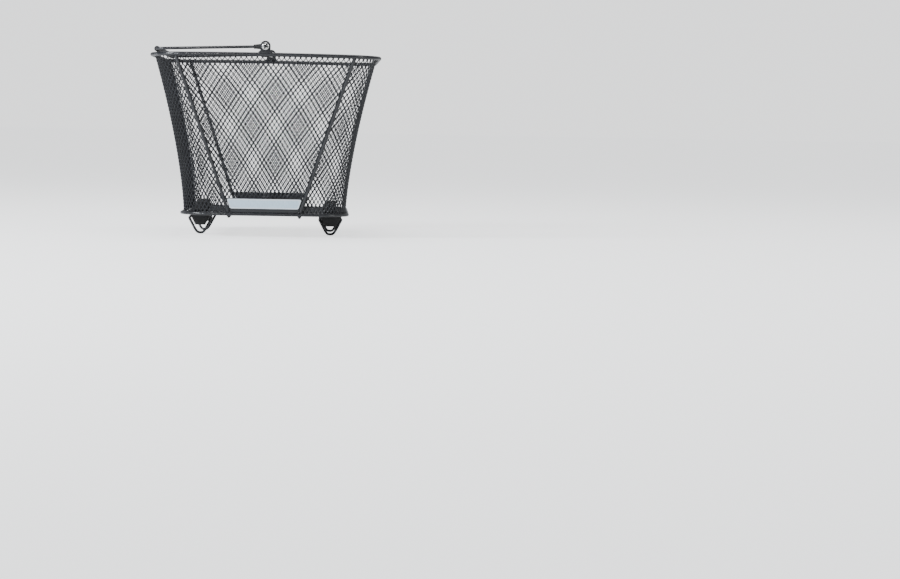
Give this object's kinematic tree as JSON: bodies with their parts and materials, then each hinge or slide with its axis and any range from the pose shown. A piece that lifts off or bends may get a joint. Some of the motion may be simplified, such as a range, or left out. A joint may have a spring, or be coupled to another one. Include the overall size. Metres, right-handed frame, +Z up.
{
  "type": "bicycle rear rack basket",
  "caption": "Flared black mesh basket for a bicycle rear rack, with a folding bail handle, side struts, reflective side panels and wire hooks that hold the rack tubes.",
  "frame": {"origin": "on the ground under the middle of the basket, level with the lowest points of its four hooks", "axes": "+X is the bicycle's forward direction, +Y its left side, +Z up; the handle lies folded towards -X"},
  "size_m": [0.32, 0.404, 0.2716],
  "materials": {
    "powder_coat": "satin black powder coat on steel wire and sheet",
    "mesh_coat": "satin black powder coat on expanded steel mesh",
    "reflective_panel": "pale blue-white reflective sheet behind clear plastic",
    "black_plastic": "matte moulded",
    "grip_vinyl": "smooth soft vinyl sleeve",
    "zinc_plate": "bright zinc plate"
  },
  "bodies": {
    "basket": {"rim_rod": "powder_coat", "base_rod": "powder_coat", "floor_runner_front": "powder_coat", "floor_runner_rear": "powder_coat", "strut_right_front": "powder_coat", "strut_right_rear": "powder_coat", "strut_left_front": "powder_coat", "strut_left_rear": "powder_coat", "side_plate_right": "powder_coat", "side_plate_left": "powder_coat", "pivot_lug_right": "powder_coat", "pivot_lug_left": "powder_coat", "mesh_wall": "mesh_coat", "mesh_floor": "mesh_coat", "reflector_right": "reflective_panel", "reflector_left": "reflective_panel", "pivot_screw_right": "zinc_plate", "pivot_screw_left": "zinc_plate", "pivot_washer_right": "zinc_plate", "pivot_washer_left": "zinc_plate", "pivot_nut_right": "zinc_plate", "pivot_nut_left": "zinc_plate", "saddle_block_right_front": "black_plastic", "saddle_block_right_rear": "black_plastic", "saddle_block_left_front": "black_plastic", "saddle_block_left_rear": "black_plastic", "saddle_cap_right_front": "black_plastic", "saddle_cap_right_rear": "black_plastic", "saddle_cap_left_front": "black_plastic", "saddle_cap_left_rear": "black_plastic", "saddle_bolt_right_front": "zinc_plate", "saddle_bolt_right_rear": "zinc_plate", "saddle_bolt_left_front": "zinc_plate", "saddle_bolt_left_rear": "zinc_plate", "saddle_nut_right_front": "zinc_plate", "saddle_nut_right_rear": "zinc_plate", "saddle_nut_left_front": "zinc_plate", "saddle_nut_left_rear": "zinc_plate"},
    "handle": {"handle_bail": "powder_coat", "grip_sleeve": "grip_vinyl", "handle_eyelet_right": "black_plastic", "handle_eyelet_left": "black_plastic"},
    "rack_hook_right_front": {"rack_hook_right_front": "powder_coat"},
    "rack_hook_right_rear": {"rack_hook_right_rear": "powder_coat"},
    "rack_hook_left_front": {"rack_hook_left_front": "powder_coat"},
    "rack_hook_left_rear": {"rack_hook_left_rear": "powder_coat"}
  },
  "joints": [
    {"name": "handle_fold", "type": "hinge", "parent": "basket", "child": "handle", "pos_m": [0, 0, 0.26379], "axis": [0, 1, 0], "range_deg": [0, 184]},
    {"name": "rack_hook_right_front_swing", "type": "hinge", "parent": "basket", "child": "rack_hook_right_front", "pos_m": [0.0925, -0.066, 0.02529], "axis": [-1, 0, 0], "range_deg": [0, 50]},
    {"name": "rack_hook_right_rear_swing", "type": "hinge", "parent": "basket", "child": "rack_hook_right_rear", "pos_m": [-0.0925, -0.066, 0.02529], "axis": [-1, 0, 0], "range_deg": [0, 50]},
    {"name": "rack_hook_left_front_swing", "type": "hinge", "parent": "basket", "child": "rack_hook_left_front", "pos_m": [0.0925, 0.066, 0.02529], "axis": [1, 0, 0], "range_deg": [0, 50]},
    {"name": "rack_hook_left_rear_swing", "type": "hinge", "parent": "basket", "child": "rack_hook_left_rear", "pos_m": [-0.0925, 0.066, 0.02529], "axis": [1, 0, 0], "range_deg": [0, 50]}
  ]
}
